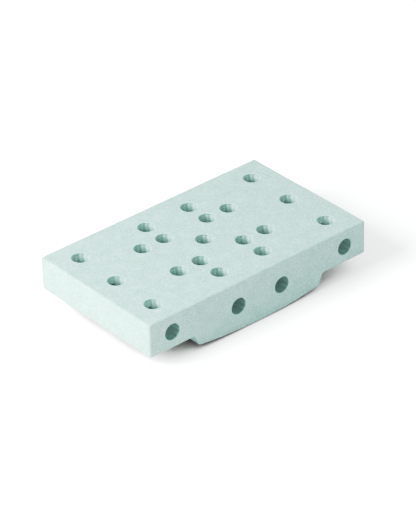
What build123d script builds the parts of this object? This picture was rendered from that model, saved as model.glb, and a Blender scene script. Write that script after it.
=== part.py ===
from build123d import *
import math
import os

os.makedirs("parts", exist_ok=True)

# Rocking board of a foam construction set. Sizes in mm, +Z up, +X along the board.
# The lowest line of the rocker lies on z = 0, half way along and across the board.

# overall sizes
board_length = 600.0        # along X
board_width = 360.0         # along Y, the same for the deck and the rocker
sheet_upper = 40.0          # thickness of the deck's upper foam sheet
sheet_lower = 40.0          # thickness of the deck's lower foam sheet
rocker_depth = 40.0         # from the deck's underside to the lowest line

# rocker outline, seen from the side
rocker_radius = 1100.0      # radius of the curved sole
rocker_root = 178.0         # half length where the end meets the deck's underside
rocker_toe = 168.0          # half length where the end meets the sole
cove_radius = 8.0           # hollow where the rocker's end runs into the deck

# softened edges
edge_radius = 5.0           # all round the outside
rim_radius = 1.5            # soft lip round each socket mouth

# peg sockets, all straight through
socket_diameter = 38.0      # in the deck's top
side_diameter = 38.0        # in the long sides
pitch = 60.0                # grid step of the sockets
end_row = 240.0             # rows near the ends, from the middle
end_side_depth = 40.0       # end side sockets, centre below the top
mid_side_depth = 57.5       # middle side sockets, centre below the top
mid_side_x = 60.0           # middle side sockets, from the middle

# working values
near = 0.1                  # how closely an edge's place is matched when it is picked
spare = 20.0                # how far a cutting box reaches past the board

underside = rocker_depth
seam = rocker_depth + sheet_lower
top = rocker_depth + sheet_lower + sheet_upper

# socket positions on the top, in grid steps
inner_grid = [(0, 0)]
inner_grid += [(i, j) for i in (-1, 1) for j in (-2, -1, 1, 2)]
inner_grid += [(i, j) for i in (-2, 2) for j in (-1, 1)]
inner_points = [(i * pitch, j * pitch) for i, j in inner_grid]
end_points = [(s * end_row, j * pitch) for s in (-1, 1) for j in (-2, 0, 2)]
top_points = inner_points + end_points
side_points = [
    (-end_row, top - end_side_depth),
    (-mid_side_x, top - mid_side_depth),
    (mid_side_x, top - mid_side_depth),
    (end_row, top - end_side_depth),
]


def sole_height(x):
    """Height of the curved sole above the floor at a distance x from the middle."""
    return rocker_radius - math.sqrt(rocker_radius ** 2 - x ** 2)


def side_outline():
    """The board's outline in the X-Z plane: deck on top, rocker below."""
    half = board_length / 2
    toe = sole_height(rocker_toe)
    with BuildSketch(Plane.XZ) as outline:
        with BuildLine():
            Line((-half, underside), (-half, top))
            Line((-half, top), (half, top))
            Line((half, top), (half, underside))
            Line((half, underside), (rocker_root, underside))
            Line((rocker_root, underside), (rocker_toe, toe))
            ThreePointArc((rocker_toe, toe), (0, 0), (-rocker_toe, toe))
            Line((-rocker_toe, toe), (-rocker_root, underside))
            Line((-rocker_root, underside), (-half, underside))
        make_face()
    return outline.sketch


def board_blank():
    """The whole board before drilling, with every outer edge softened."""
    blank = extrude(side_outline(), amount=board_width / 2, both=True)
    across = blank.edges().filter_by(Axis.Y)
    roots = [e for e in across if abs(abs(e.center().X) - rocker_root) < near]
    blank = fillet(roots, cove_radius)
    sides = [f for f in blank.faces() if abs(abs(f.center().Y) - board_width / 2) < near]
    rim = [e for f in sides for e in f.edges()]
    across = blank.edges().filter_by(Axis.Y)
    outer = [e for e in across if abs(abs(e.center().X) - board_length / 2) < near]
    toes = [e for e in across if abs(abs(e.center().X) - rocker_toe) < near]
    return fillet(ShapeList(rim + outer + toes), edge_radius)


def drill(blank):
    """Bore every socket straight through."""
    for x, y in top_points:
        bit = Cylinder(socket_diameter / 2, 3 * top)
        blank = blank - Pos(x, y, top / 2) * bit
    for x, z in side_points:
        bit = Cylinder(side_diameter / 2, 2 * board_width)
        blank = blank - Pos(x, 0, z) * Rot(90, 0, 0) * bit
    return blank


def on_mouth(edge):
    """True for an edge that rings a socket mouth on the outside of the board."""
    box = edge.bounding_box()
    wide = max(box.size.X, box.size.Y, box.size.Z)
    reach = max(socket_diameter, side_diameter)
    if wide > reach + 1:
        return False
    c = edge.center()
    flat_top = abs(c.Z - top) < near / 10 and box.size.Z < near / 10
    flat_side = abs(abs(c.Y) - board_width / 2) < near / 10 and box.size.Y < near / 10
    flat_under = abs(c.Z - underside) < near / 10 and box.size.Z < near / 10
    sole = c.Z < underside / 2 and box.size.X > socket_diameter - 1
    return (flat_top or flat_side or flat_under or sole) and box.size.X > reach - 2


def soften_mouths(board):
    """Round the lip of every socket mouth."""
    lips = ShapeList([e for e in board.edges() if on_mouth(e)])
    return fillet(lips, rim_radius)


def slice_between(board, low, high):
    """The part of the board between two heights."""
    cutter = Box(board_length + 2 * spare, board_width + 2 * spare, high - low)
    return board & Pos(0, 0, (low + high) / 2) * cutter


def save(shape, node):
    """Write one foam sheet to its own file."""
    solid = shape.solids()[0]
    solid.label = node
    export_step(solid, "parts/" + node + ".step")
    print(node, len(shape.solids()), round(solid.volume / 1000), "cm3")


board = soften_mouths(drill(board_blank()))
save(slice_between(board, seam, top + spare), "deck_upper_sheet")
save(slice_between(board, underside, seam), "deck_lower_sheet")
save(slice_between(board, -spare, underside), "rocker_base")
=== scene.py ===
# A foam rocker board: two deck sheets on a curved rocker, bored right through with ribbed peg sockets.
import math

import bmesh
import bpy
import numpy as np
from mathutils import Matrix, Vector


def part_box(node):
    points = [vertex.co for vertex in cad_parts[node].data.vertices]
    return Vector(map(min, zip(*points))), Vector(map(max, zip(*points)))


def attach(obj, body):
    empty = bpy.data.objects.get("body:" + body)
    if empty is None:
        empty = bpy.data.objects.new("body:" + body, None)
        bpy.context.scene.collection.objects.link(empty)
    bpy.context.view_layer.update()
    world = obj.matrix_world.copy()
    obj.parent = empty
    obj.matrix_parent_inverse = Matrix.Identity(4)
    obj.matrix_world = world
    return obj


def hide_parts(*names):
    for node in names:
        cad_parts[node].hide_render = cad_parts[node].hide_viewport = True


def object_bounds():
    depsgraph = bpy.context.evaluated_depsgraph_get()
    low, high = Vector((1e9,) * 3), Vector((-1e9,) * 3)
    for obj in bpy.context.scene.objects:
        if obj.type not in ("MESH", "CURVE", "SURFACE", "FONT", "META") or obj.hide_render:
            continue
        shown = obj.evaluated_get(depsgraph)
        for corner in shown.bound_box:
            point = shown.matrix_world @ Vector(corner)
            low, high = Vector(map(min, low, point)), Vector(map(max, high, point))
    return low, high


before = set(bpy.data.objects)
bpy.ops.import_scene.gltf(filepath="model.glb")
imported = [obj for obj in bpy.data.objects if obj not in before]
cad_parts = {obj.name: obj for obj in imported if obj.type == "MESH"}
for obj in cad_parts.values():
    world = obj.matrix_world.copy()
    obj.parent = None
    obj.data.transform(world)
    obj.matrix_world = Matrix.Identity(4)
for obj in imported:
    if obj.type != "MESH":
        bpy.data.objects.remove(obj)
cadLow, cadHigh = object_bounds()
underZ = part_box("deck_lower_sheet")[0].z  # the deck's underside
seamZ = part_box("deck_upper_sheet")[0].z  # between the deck's two sheets
print("frame loaded", [round(v, 4) for v in cadHigh])

mm = 0.001

block = {
    "edge": 5 * mm,  # softened outer edges
    "cove": 8 * mm,  # hollow where the rocker's end runs into the deck
    "root": 178 * mm,  # half length of the rocker at the deck
    "toe": 168 * mm,  # half length of the rocker at the sole
    "soleRadius": 1100 * mm,  # curve of the sole
    "spacing": 6 * mm,  # distance between points on the flat faces
    "roundSteps": 6,  # points in each softened edge
    "seamDrop": 0.02 * mm,  # the lower cut passes just under the deck's underside
    "spare": 20 * mm,  # how far the slabs that part the block reach past it
    "crease": 38,  # degrees: a sharper edge than this isn't shaded smooth
    "evenWeight": 80,  # how strongly the large faces rule the shading
}


def spread(start, end, spacing):
    # evenly spaced numbers from start to end, both included
    count = max(2, int(math.ceil(abs(end - start) / spacing)) + 1)
    return np.linspace(start, end, count)


def softStep(values):
    # 0 up to 0, 1 from 1 on, and an S between
    values = np.clip(values, 0, 1)
    return values * values * (3 - 2 * values)


def arc(centreX, centreZ, radius, fromTurn, toTurn, steps, facing=1):
    # points on a circle, with the way the foam faces there: outwards for a round edge, inwards for a cove
    turn = np.radians(np.linspace(fromTurn, toTurn, steps + 1))
    ray = np.stack([np.cos(turn), np.sin(turn)], 1)
    return np.array([centreX, centreZ]) + radius * ray, facing * ray


def straight(start, end, spacing, facing):
    # points along a line, all facing the same way
    steps = spread(0, 1, spacing / math.dist(start, end))[:, None]
    points = np.array(start) * (1 - steps) + np.array(end) * steps
    return points, np.repeat([facing], len(points), 0)


def rightHalfOfUnderside():
    # half of the lower outline from the middle of the sole to the deck's end:
    # sole arc, toe, slanted end, cove, underside and the deck's lower corner
    half, sole, edge, cove = cadHigh.x, block["soleRadius"], block["edge"], block["cove"]
    toeZ = soleHeight(block["toe"])
    slant = np.array([block["root"] - block["toe"], underZ - toeZ])
    slant /= np.linalg.norm(slant)
    facing = np.array([slant[1], -slant[0]])  # the slanted end faces out and slightly down
    # the toe's centre lies one edge radius inside both the slanted line and the sole's circle
    foot = np.array([block["toe"], toeZ]) - edge * facing - np.array([0, sole])
    along = -foot @ slant - math.sqrt((foot @ slant) ** 2 - foot @ foot + (sole - edge) ** 2)
    toe = foot + along * slant + np.array([0, sole])
    soleTurn = math.degrees(math.atan2(toe[1] - sole, toe[0]))
    slantTurn = math.degrees(math.atan2(facing[1], facing[0]))
    # the cove's centre lies one cove radius below the underside and outside the slanted line
    coveZ = underZ - cove
    coveX = block["root"] - cove * slant[0] / slant[1] + cove / facing[0]
    steps, spacing = block["roundSteps"], block["spacing"]
    soleSteps = int(sole * math.radians(soleTurn + 90) / spacing)
    toeEnd = toe + edge * facing
    coveStart = np.array([coveX, coveZ]) - cove * facing
    parts = [
        arc(0, sole, sole, -90, soleTurn, soleSteps),
        arc(toe[0], toe[1], edge, soleTurn, slantTurn, steps),
        straight(toeEnd, coveStart, spacing, facing),
        arc(coveX, coveZ, cove, slantTurn + 180, 90, steps, facing=-1),
        straight((coveX, underZ), (half - edge, underZ), spacing, (0, -1)),
        arc(half - edge, underZ + edge, edge, -90, 0, steps),
    ]
    points = np.concatenate([parts[0][0]] + [line[1:] for line, ways in parts[1:]])
    facings = np.concatenate([parts[0][1]] + [ways[1:] for line, ways in parts[1:]])
    return points, facings


def mirrored(points):
    return points * np.array([-1, 1])


def outline():
    # the block's side outline as four runs: underside, right end, top, left end
    halfPoints, halfFacings = rightHalfOfUnderside()
    low = np.concatenate([mirrored(halfPoints[:0:-1]), halfPoints])
    lowFacing = np.concatenate([mirrored(halfFacings[:0:-1]), halfFacings])
    edge, steps, top = block["edge"], block["roundSteps"], cadHigh.z
    corner, cornerFacing = arc(cadHigh.x - edge, top - edge, edge, 0, 90, steps)
    flatX = low[steps + 1 : -steps - 1, 0][::-1]  # the top's points stand over the underside's
    flat = np.stack([flatX, np.full(len(flatX), top)], 1)
    flatFacing = np.repeat([[0.0, 1.0]], len(flat), 0)
    high = np.concatenate([corner, flat, mirrored(corner[::-1])])
    highFacing = np.concatenate([cornerFacing, flatFacing, mirrored(cornerFacing[::-1])])
    endZ = spread(underZ + edge, top - edge, block["spacing"])[1:-1]
    end = np.stack([np.full(len(endZ), cadHigh.x), endZ], 1)
    endFacing = np.repeat([[1.0, 0.0]], len(end), 0)
    runs = [low, end, high, mirrored(end[::-1])]
    facings = [lowFacing, endFacing, highFacing, mirrored(endFacing)]
    return runs, facings


def gridFaces(rows, columns, closed, start=0):
    # quads between neighbouring points of a rows x columns grid; closed joins the last row to the first
    i = np.arange(rows if closed else rows - 1)[:, None]
    j = np.arange(columns - 1)[None, :]
    nextRow = (i + 1) % rows
    here, there = i * columns + j, nextRow * columns + j
    quads = np.stack([here, there, there + 1, here + 1], -1)
    return quads.reshape(-1, 4) + start


def meshObject(name, points, *faceGroups):
    # a mesh object from whole arrays of points and faces
    mesh = bpy.data.meshes.new(name)
    mesh.from_pydata(points.tolist(), [], sum((group.tolist() for group in faceGroups), []))
    made = bpy.data.objects.new(name, mesh)
    bpy.context.collection.objects.link(made)
    return made


def weld(piece, distance=0.002 * mm):
    # merges doubles, drops faces with no area and turns every face outwards
    shape = bmesh.new()
    shape.from_mesh(piece.data)
    bmesh.ops.remove_doubles(shape, verts=shape.verts, dist=distance)
    bmesh.ops.dissolve_degenerate(shape, edges=shape.edges, dist=distance / 2)
    bmesh.ops.recalc_face_normals(shape, faces=shape.faces)
    shape.to_mesh(piece.data)
    shape.free()
    return piece


def makeBlock():
    # the outline carried across the board: point = outline - inset * facing, at each place across.
    # near the long sides the inset follows a quarter circle, which softens that edge
    runs, facings = outline()
    path, facing = np.concatenate(runs), np.concatenate(facings)
    edge, halfWidth = block["edge"], cadHigh.y
    turn = np.radians(np.linspace(0, 90, block["roundSteps"] + 1))
    flat = spread(halfWidth - edge, edge - halfWidth, block["spacing"])[1:-1]
    roundY = halfWidth - edge + edge * np.cos(turn)
    across = np.concatenate([roundY, flat, -roundY[::-1]])
    roundInset = edge - edge * np.sin(turn)
    inset = np.concatenate([roundInset, 0 * flat, roundInset[::-1]])
    ring = path[:, None, :] - inset[None, :, None] * facing[:, None, :]
    places = np.broadcast_to(across[None, :], ring.shape[:2])
    skin = np.stack([ring[..., 0], places, ring[..., 1]], -1).reshape(-1, 3)
    points, faces = [skin], [gridFaces(len(path), len(across), closed=True)]
    # each long side is a grid between the inset underside and the inset top
    low = runs[0] - edge * facings[0]
    high = (runs[2] - edge * facings[2])[::-1]
    rise = np.linspace(0, 1, len(runs[1]) + 2)[None, :, None]
    side = low[:, None, :] * (1 - rise) + high[:, None, :] * rise
    rows, columns = side.shape[:2]
    for y in (halfWidth, -halfWidth):
        start = sum(len(group) for group in points)
        points.append(np.stack([side[..., 0], np.full((rows, columns), y), side[..., 1]], -1).reshape(-1, 3))
        faces.append(gridFaces(rows, columns, closed=False, start=start))
    return weld(meshObject("foamBlock", np.concatenate(points), np.concatenate(faces)))


pegSocket = {
    "radius": 19 * mm,  # at the crests of the ribs
    "lip": 1.5 * mm,  # soft edge round each mouth
    "lipTurn": 70,  # degrees of the lip's arc before it runs out on the face
    "lipSteps": 6,  # points in the lip
    "reach": 1 * mm,  # how far a plug stands out of the face before it is cut away
    "ribs": 11,  # ribs round each wall
    "ribDepth": 2.0 * mm,  # from the crest of a rib to the bottom of a groove
    "grooveShape": 0.7,  # below 1, the ribs are narrower than the grooves between them
    "ribFade": 4 * mm,  # the ribs die out over this distance from a mouth
    "topTurn": 17,  # degrees from +X to one rib, in the top sockets
    "sideTurn": -5,  # and in the side sockets
    "pitch": 60 * mm,  # grid step
    "endSideDepth": 40 * mm,  # side sockets near the ends, below the top
    "midSideDepth": 57.5 * mm,  # side sockets near the middle, below the top
    "aroundSteps": 132,  # points round each wall
    "coreSteps": 6,  # rings between the two ends of a wall
}


def topPlaces():
    # x and y of the top sockets: a middle group, and a row of three near each end
    middle = [(0, 0)] + [(i, j) for i in (-1, 1) for j in (-2, -1, 1, 2)]
    outer = [(i, j) for i in (-2, 2) for j in (-1, 1)]
    ends = [(i, j) for i in (-4, 4) for j in (-2, 0, 2)]
    return np.array(middle + outer + ends) * pegSocket["pitch"]


def sidePlaces():
    # x and z of the side sockets
    step, top = pegSocket["pitch"], cadHigh.z
    ends = [(s * 4 * step, top - pegSocket["endSideDepth"]) for s in (-1, 1)]
    middles = [(s * step, top - pegSocket["midSideDepth"]) for s in (-1, 1)]
    return ends + middles


def soleHeight(x):
    # height of the curved sole above the floor
    return block["soleRadius"] - np.sqrt(block["soleRadius"] ** 2 - x**2)


def turnsRound():
    return np.linspace(0, 2 * math.pi, pegSocket["aroundSteps"], endpoint=False)


def ribWave(around, turn):
    # 0 on the crest of a rib and 1 in the middle of a groove
    wave = 0.5 - 0.5 * np.cos(pegSocket["ribs"] * (around - math.radians(turn)))
    return wave ** pegSocket["grooveShape"]


def lipProfile():
    # from outside a mouth down to the wall: distance into the foam, and extra radius.
    # the lip is an arc of a circle, run on a little in a straight line past the face
    lip, reach = pegSocket["lip"], pegSocket["reach"]
    turn = np.radians(np.linspace(pegSocket["lipTurn"], 0, pegSocket["lipSteps"]))
    inward = lip - lip * np.sin(turn)
    extra = lip - lip * np.cos(turn)
    outside = -reach, extra[0] + (reach + inward[0]) * math.tan(turn[0])
    return np.append(outside[0], inward), np.append(outside[1], extra)


def plugRings(turn, lowMouth, highMouth):
    # a ribbed plug as rings: radius = wall + lip + rib wave, height between the two mouths.
    # lowMouth is one height, or one for each point round the ring
    lipIn, lipExtra = lipProfile()
    around = turnsRound()
    lowMouth = np.broadcast_to(lowMouth, around.shape)
    highMouth = np.broadcast_to(highMouth, around.shape)
    fade = spread(lipIn[-1], lipIn[-1] + pegSocket["ribFade"], 1 * mm)[1:]
    depth = np.concatenate([lipIn, fade])
    extra = np.concatenate([lipExtra, 0 * fade])
    core = np.linspace(0, 1, pegSocket["coreSteps"] + 2)[1:-1, None]
    coreZ = (lowMouth + depth[-1]) + core * (highMouth - lowMouth - 2 * depth[-1])
    height = np.concatenate([lowMouth + depth[:, None], coreZ, highMouth - depth[::-1, None]])
    flare = np.concatenate([extra, np.zeros(len(core)), extra[::-1]])[:, None]
    inside = np.minimum(height - lowMouth, highMouth - height) - lipIn[-1]
    grown = softStep(inside / pegSocket["ribFade"])
    radius = pegSocket["radius"] + flare + pegSocket["ribDepth"] * ribWave(around, turn) * grown
    return np.stack([radius * np.cos(around), radius * np.sin(around), height], -1)


def plugMesh(rings):
    # the rings of one plug as points, wall quads, and a fan of triangles to close each end
    count, steps = rings.shape[:2]
    points = np.concatenate([rings.reshape(-1, 3), [rings[0].mean(0), rings[-1].mean(0)]])
    grid = gridFaces(steps, count, closed=True)
    wall = (grid % count) * steps + grid // count  # the grid's rows run round the plug
    here = np.arange(steps)
    after = (here + 1) % steps
    lastRing = (count - 1) * steps
    low = np.stack([after, here, np.full(steps, count * steps)], 1)
    high = np.stack([here + lastRing, after + lastRing, np.full(steps, count * steps + 1)], 1)
    return points, wall, np.concatenate([low, high])


def joinedPlugs(name, plugs):
    # several plugs in one mesh: each one's faces count on from the points before it
    allPoints, allWalls, allFans = zip(*plugs)
    starts = np.cumsum([0] + [len(points) for points in allPoints])
    walls = np.concatenate([wall + start for wall, start in zip(allWalls, starts)])
    fans = np.concatenate([fan + start for fan, start in zip(allFans, starts)])
    return weld(meshObject(name, np.concatenate(allPoints), walls, fans))


def topPlugs():
    # one plug for each top socket; under the rocker its lower mouth follows the sole
    plugs = []
    for x, y in topPlaces():
        onRocker = abs(x) < block["toe"]
        mouth = soleHeight(x + pegSocket["radius"] * np.cos(turnsRound())) if onRocker else underZ
        points, wall, fans = plugMesh(plugRings(pegSocket["topTurn"], mouth, cadHigh.z))
        plugs.append((points + np.array([x, y, 0]), wall, fans))
    return joinedPlugs("topPlugs", plugs)


def sidePlugs():
    # the same plug laid along Y: its own Y becomes the board's Z
    plugs = []
    for x, z in sidePlaces():
        points, wall, fans = plugMesh(plugRings(pegSocket["sideTurn"], -cadHigh.y, cadHigh.y))
        plugs.append((points[:, [0, 2, 1]] + np.array([x, 0, z]), wall, fans))
    return joinedPlugs("sidePlugs", plugs)


def combine(piece, tool, operation):
    # one Boolean, worked out at once, after which the tool is thrown away
    step = piece.modifiers.new(operation.lower(), "BOOLEAN")
    step.solver = "MANIFOLD"
    step.operation = operation
    step.object = tool
    bpy.context.view_layer.update()
    done = bpy.data.meshes.new_from_object(piece.evaluated_get(bpy.context.evaluated_depsgraph_get()))
    piece.modifiers.clear()
    piece.data = done
    bpy.data.objects.remove(tool)


def slabBetween(low, high):
    # a plain box wider than the board, between two heights
    spare = block["spare"]
    sidesX = (cadLow.x - spare, cadHigh.x + spare)
    sidesY = (cadLow.y - spare, cadHigh.y + spare)
    corners = np.array([(x, y, z) for x in sidesX for y in sidesY for z in (low, high)])
    faces = [(0, 1, 3, 2), (4, 6, 7, 5), (0, 4, 5, 1), (2, 3, 7, 6), (0, 2, 6, 4), (1, 5, 7, 3)]
    return weld(meshObject("slab", corners, np.array(faces)))


sag = {
    "size": 0.25 * mm,  # how far the foam strays from true
    "shortest": 90 * mm,  # wavelengths of the stray
    "longest": 260 * mm,
    "waves": 10,
    "seed": 7,
}


def softened(points):
    # foam is never quite true: each point moves by a sum of long, slow sine waves of its place
    chance = np.random.default_rng(sag["seed"])
    moved = points.copy()
    for axis in range(3):
        way = chance.normal(size=(sag["waves"], 3))
        way /= np.linalg.norm(way, axis=1)[:, None]
        length = chance.uniform(sag["shortest"], sag["longest"], sag["waves"])
        phase = chance.uniform(0, 2 * math.pi, sag["waves"])
        wave = np.sin(points @ (way / length[:, None] * 2 * math.pi).T + phase)
        moved[:, axis] += sag["size"] * wave.sum(1) / math.sqrt(sag["waves"])
    return moved


# each painted shade or painted light on the socket walls sets in between two depths below the mouth, and
# shows more or less strongly on the ribs' crests and in the grooves: painted shade in the side sockets and
# far down in the top sockets, painted light on the top sockets' crests near the mouth
paintedWallShading = {
    # painted shade in the side sockets, strongest in the grooves
    "sideWallPaintedShade": {"from": 0 * mm, "to": 9 * mm, "crest": 0.5, "groove": 1.0},
    # painted light on the top sockets' rib crests near the mouth
    "topCrestPaintedLight": {"from": 1 * mm, "to": 9 * mm, "crest": 1.0, "groove": 0.6},
    # painted shade deep in the top sockets
    "deepWallPaintedShade": {"from": 8 * mm, "to": 26 * mm, "crest": 0.75, "groove": 1.0},
}


def paintedWallShare(points, name):
    # how far painted wall shade or painted light shows at each point: soft step of the depth below the
    # mouth, times a mix of crest and groove that follows the ribs. it is 0 off the walls, and a point is on
    # a wall where its distance from a socket's axis is the wall's radius, give or take a rib
    shade = paintedWallShading[name]
    x, y, z = points.T
    if name == "sideWallPaintedShade":
        depth, right, up = cadHigh.y - np.abs(y), x, z
        places, turn = sidePlaces(), pegSocket["sideTurn"]
    else:
        depth, right, up = cadHigh.z - z, x, y
        places, turn = topPlaces(), pegSocket["topTurn"]
    setIn = softStep((depth - shade["from"]) / (shade["to"] - shade["from"]))
    outermost = pegSocket["radius"] + pegSocket["ribDepth"] + 0.1 * mm
    share = np.zeros(len(points))
    for centreRight, centreUp in places:
        onWall = np.hypot(right - centreRight, up - centreUp) < outermost
        wave = ribWave(np.arctan2(up - centreUp, right - centreRight), turn)
        share = np.where(onWall, setIn * (shade["crest"] + (shade["groove"] - shade["crest"]) * wave), share)
    return share


def finishPiece(piece, node):
    # strays the points, shades the round parts smooth and puts the piece in place of its CAD node
    weld(piece)
    mesh = piece.data
    flat = np.empty(len(mesh.vertices) * 3, dtype=np.float32)
    mesh.vertices.foreach_get("co", flat)
    points = flat.reshape(-1, 3).astype(float)
    # how much painted shade or painted light each point of the socket walls takes
    for name in paintedWallShading:
        share = paintedWallShare(points, name).astype(np.float32)
        mesh.attributes.new(name, "FLOAT", "POINT").data.foreach_set("value", share)
    mesh.vertices.foreach_set("co", softened(points).ravel())
    mesh.polygons.foreach_set("use_smooth", np.ones(len(mesh.polygons), dtype=bool))
    mesh.set_sharp_from_angle(angle=math.radians(block["crease"]))
    even = piece.modifiers.new("evenShading", "WEIGHTED_NORMAL")
    even.keep_sharp = True
    even.weight = block["evenWeight"]
    mesh.update()
    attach(piece, "root")
    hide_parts(node)
    return piece


def makeSheets():
    # bores the block, then parts it at the two glue lines
    whole = makeBlock()
    print("block made", len(whole.data.vertices), "points")
    combine(whole, topPlugs(), "DIFFERENCE")
    combine(whole, sidePlugs(), "DIFFERENCE")
    print("sockets bored", len(whole.data.vertices), "points")
    lowSeam = underZ - block["seamDrop"]
    cuts = {
        "foamDeckTop": ("deck_upper_sheet", seamZ, cadHigh.z + block["spare"]),
        "foamDeckBottom": ("deck_lower_sheet", lowSeam, seamZ),
        "foamRocker": ("rocker_base", cadLow.z - block["spare"], lowSeam),
    }
    sheets = []
    for name, (node, low, high) in cuts.items():
        piece = bpy.data.objects.new(name, whole.data.copy())
        piece.data.name = name
        bpy.context.collection.objects.link(piece)
        combine(piece, slabBetween(low, high), "INTERSECT")
        sheets.append(finishPiece(piece, node))
        print(name, len(piece.data.vertices), "points", len(piece.data.polygons), "faces")
    bpy.data.objects.remove(whole)
    return sheets


foam = {
    "deeper": (0.447, 0.642, 0.588, 1),  # the darker grains of the mint
    "paler": (0.583, 0.818, 0.762, 1),  # the lighter ones
    "fleck": (0.71, 0.96, 0.90, 1),  # small pale flecks
    "sideWallPaintedShade": (0.19, 0.415, 0.37, 1),  # painted shade: the side sockets' walls, darkest in the grooves between the ribs
    "topCrestPaintedLight": (0.75, 0.9, 0.85, 1),  # painted light: the top sockets' rib crests made paler near the mouth
    "deepWallPaintedShade": (0.38, 0.55, 0.5, 1),  # painted shade: the top sockets' walls darker further down
    "grainSize": 3.2 * mm,
    "grainSpread": (0.28, 0.72),  # the grain's noise below and above which the mint is plain
    "cloudSize": 30 * mm,
    "cloudShare": 0.35,  # how much slow clouding there is beside the grain
    "fleckGap": 8.0 * mm,  # distance between places where a fleck may be
    "fleckSize": 1.8 * mm,
    "fleckShare": 0.55,  # how many of those places have one
    "fleckRelief": 0.4,  # how far a fleck stands up beside the grain
    "relief": 0.6 * mm,
    "reliefStrength": 0.35,
    "roughness": (0.66, 0.78),  # between the two sorts of grain
    "specular": 0.3,
}


class Wire:
    # one socket of a material, so that sums can be written as they are read
    def __init__(self, tree, socket=None):
        self.tree = tree
        self.socket = socket

    def node(self, kind, settings=(), values=(), out=0):
        made = self.tree.nodes.new(kind)
        for name, value in dict(settings).items():
            setattr(made, name, value)
        for name, value in dict(values).items():
            if isinstance(value, Wire):
                self.tree.links.new(value.socket, made.inputs[name])
            else:
                made.inputs[name].default_value = value
        return Wire(self.tree, made.outputs[out] if len(made.outputs) else None)

    def maths(self, operation, first, second):
        return self.node("ShaderNodeMath", {"operation": operation}, {0: first, 1: second})

    def __add__(self, other):
        return self.maths("ADD", self, other)

    def __sub__(self, other):
        return self.maths("SUBTRACT", self, other)

    def __mul__(self, other):
        return self.maths("MULTIPLY", self, other)

    def __rsub__(self, other):
        return self.maths("SUBTRACT", other, self)

    __radd__ = __add__
    __rmul__ = __mul__

    def between(self, low, high, start=0.0, end=1.0):
        # start below low, end above high, with a soft step between
        sizes = {"Value": self, "From Min": low, "From Max": high, "To Min": start, "To Max": end}
        return self.node("ShaderNodeMapRange", {"interpolation_type": "SMOOTHSTEP"}, sizes)

    def blend(self, first, second):
        # first colour where this is 0, second where it is 1
        return self.node("ShaderNodeMix", {"data_type": "RGBA"}, {0: self, 6: first, 7: second}, out=2)


def newMaterial(name):
    material = bpy.data.materials.new(name)
    material.use_nodes = True
    material.node_tree.nodes.clear()
    return material, Wire(material.node_tree)


def foamMaterial():
    # mint foam: grains of lighter and deeper mint, slow clouding, and pale flecks on random places; on the
    # socket walls, painted shade and painted light
    material, wire = newMaterial("mintFoam")
    place = wire.node("ShaderNodeTexCoord", out="Object")
    fine = {"Vector": place, "Scale": 1 / foam["grainSize"], "Detail": 2.0}
    slow = {"Vector": place, "Scale": 1 / foam["cloudSize"], "Detail": 1.0}
    grain = wire.node("ShaderNodeTexNoise", {}, fine)
    cloud = wire.node("ShaderNodeTexNoise", {}, slow)
    tone = grain + (cloud - 0.5) * foam["cloudShare"]
    colour = tone.between(*foam["grainSpread"]).blend(foam["deeper"], foam["paler"])
    # a fleck lies round the middle of a cell, in those cells whose random colour has little red
    scatter = {"Vector": place, "Scale": 1 / foam["fleckGap"]}
    fromMiddle = wire.node("ShaderNodeTexVoronoi", {"feature": "F1"}, scatter)
    cellColour = wire.node("ShaderNodeTexVoronoi", {"feature": "F1"}, scatter, out="Color")
    red = wire.node("ShaderNodeSeparateColor", {}, {"Color": cellColour}, out="Red")
    chosen = red.between(foam["fleckShare"] - 0.002, foam["fleckShare"] + 0.002, 1.0, 0.0)
    reach = foam["fleckSize"] / foam["fleckGap"]
    fleck = fromMiddle.between(reach * 0.5, reach * 1.2, 1.0, 0.0) * chosen
    colour = fleck.blend(colour, foam["fleck"])
    # painted shade on the side sockets' walls and deep in the top sockets, painted light on the top sockets'
    # rib crests
    for name in paintedWallShading:
        share = wire.node("ShaderNodeAttribute", {"attribute_name": name}, out="Fac")
        colour = share.blend(colour, foam[name])
    height = grain + fleck * foam["fleckRelief"]
    sizes = {"Height": height, "Strength": foam["reliefStrength"], "Distance": foam["relief"]}
    bump = wire.node("ShaderNodeBump", {}, sizes)
    roughness = grain.between(0.3, 0.7, *foam["roughness"])
    looks = {"Base Color": colour, "Roughness": roughness, "Normal": bump}
    looks["Specular IOR Level"] = foam["specular"]
    shader = wire.node("ShaderNodeBsdfPrincipled", {}, looks)
    wire.node("ShaderNodeOutputMaterial", {}, {"Surface": shader})
    return material


table = {
    "colour": (1.0, 0.925, 0.925, 1),  # as the light that it bounces sees it
    "shown": (2.34, 2.28, 2.28, 1),  # as it is seen: white and overexposed
    "nearShown": (2.52, 2.24, 2.27, 1),  # painted warmer near the board, to cancel the mint light that the board bounces onto it
    "nearOpen": (0.2, 0.9),  # how open the floor is where that tint ends and starts
    "contactPaintedShadow": (0.3, 0.2, 0.21, 1),  # painted shadow where the board all but touches it
    "contactOpen": 0.6,  # floor that is this open is as bright as the rest
    "contactReach": 100 * mm,
    "contactSamples": 16,
    "reach": 12.0,
}


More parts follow.
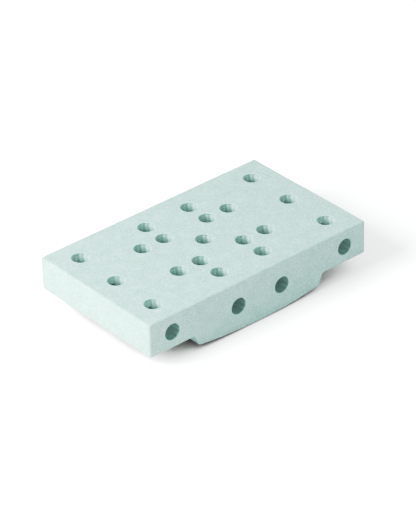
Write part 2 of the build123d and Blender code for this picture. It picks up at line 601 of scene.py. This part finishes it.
def makeTable():
    # a pale floor under the lowest point of the made board, with painted shade where the board closes it in
    # and painted warmth near the board against the mint light it bounces
    reach, z = table["reach"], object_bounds()[0].z
    corners = np.array([(-reach, -reach, z), (reach, -reach, z), (reach, reach, z), (-reach, reach, z)])
    floor = meshObject("floor", corners, np.array([[0, 1, 2, 3]]))
    material, wire = newMaterial("paleFloor")
    seen = wire.node("ShaderNodeLightPath", out="Is Camera Ray")
    settings, sizes = {"samples": table["contactSamples"]}, {"Distance": table["contactReach"]}
    openness = wire.node("ShaderNodeAmbientOcclusion", settings, sizes, out="AO")
    # painted counter-tint near the board against the mint light it bounces onto the floor
    shown = openness.between(*table["nearOpen"]).blend(table["nearShown"], table["shown"])
    colour = seen.blend(table["colour"], shown)
    # painted contact shadow: the floor turns dark where ambient occlusion finds the board close
    colour = openness.between(0.0, table["contactOpen"]).blend(table["contactPaintedShadow"], colour)
    shader = wire.node("ShaderNodeBsdfDiffuse", {}, {"Color": colour})
    wire.node("ShaderNodeOutputMaterial", {}, {"Surface": shader})
    floor.data.materials.append(material)


# the key light stands off the board's left end: rise above the floor, and turn from -X towards +Y
keyLight = {
    "power": 166.0,
    "size": 2.0,
    "far": 3.3,
    "rise": 34,
    "turn": 14,
    "colour": (0.955, 1.0, 0.993),
    "aim": (0.0, 0.0, 0.06),
}
sky = {"colour": (0.93, 0.975, 0.98, 1), "strength": 0.715}


def makeLights():
    # one large soft box turned to the board, and an even sky
    rise, turn = math.radians(keyLight["rise"]), math.radians(keyLight["turn"])
    toLight = Vector((-math.cos(turn) * math.cos(rise), math.sin(turn) * math.cos(rise), math.sin(rise)))
    light = bpy.data.lights.new("keyLight", "AREA")
    light.energy = keyLight["power"]
    light.size = keyLight["size"]
    light.color = keyLight["colour"]
    made = bpy.data.objects.new("keyLight", light)
    made.location = Vector(keyLight["aim"]) + toLight * keyLight["far"]
    made.rotation_euler = (-toLight).to_track_quat("-Z", "Y").to_euler()
    bpy.context.collection.objects.link(made)
    world = bpy.data.worlds.new("studioAir")
    world.use_nodes = True
    air = world.node_tree.nodes["Background"]
    air.inputs["Color"].default_value = sky["colour"]
    air.inputs["Strength"].default_value = sky["strength"]
    bpy.context.scene.world = world


# how bright light is put on film: straight at first, then a soft shoulder up to plain white
film = {
    "white": 3.0,
    "curve": [
        (0.05, 0.035),
        (0.1, 0.075),
        (0.17, 0.138),
        (0.3, 0.27),
        (0.45, 0.425),
        (0.6, 0.545),
        (0.75, 0.622),
        (0.95, 0.7),
        (1.2, 0.778),
        (1.5, 0.84),
        (2.1, 0.955),
        (2.4, 1.0),
        (2.7, 1.0),
    ],
}


def setFilm():
    shown = bpy.context.scene.view_settings
    shown.view_transform = "Standard"
    shown.use_curve_mapping = True
    shape = shown.curve_mapping
    shape.white_level = [film["white"]] * 3
    shape.extend = "HORIZONTAL"
    allColours = shape.curves[3]
    for light, shade in film["curve"]:
        allColours.points.new(light / film["white"], shade)
    shape.update()


view = {
    "azimuth": -39.593,
    "elevation": 32.473,
    "roll": -1.735,
    "distance": 6.174,
    "aim": (0.0117, 0.0031, 0.060),
    "lens": 200.0,
    "sensor": 36.0,
    "nearest": 0.1,
    "furthest": 100.0,
}


def makeCamera():
    # looks at the aim point from an azimuth, an elevation and a distance, with a slight roll
    azimuth, elevation = math.radians(view["azimuth"]), math.radians(view["elevation"])
    level = math.cos(elevation)
    back = Vector((math.sin(azimuth) * level, -math.cos(azimuth) * level, math.sin(elevation)))
    upright = (-back).to_track_quat("-Z", "Y").to_matrix()
    rolled = upright @ Matrix.Rotation(math.radians(view["roll"]), 3, "Z")
    camera = bpy.data.cameras.new("camera")
    camera.lens = view["lens"]
    camera.sensor_width = view["sensor"]
    camera.clip_start = view["nearest"]
    camera.clip_end = view["furthest"]
    made = bpy.data.objects.new("camera", camera)
    made.location = Vector(view["aim"]) + back * view["distance"]
    made.rotation_euler = rolled.to_euler()
    bpy.context.collection.objects.link(made)
    bpy.context.scene.camera = made


sheets = makeSheets()
mintFoam = foamMaterial()
for sheet in sheets:
    sheet.data.materials.clear()
    sheet.data.materials.append(mintFoam)
print("foam finished")
makeTable()
makeLights()
setFilm()
makeCamera()
print("studio ready")
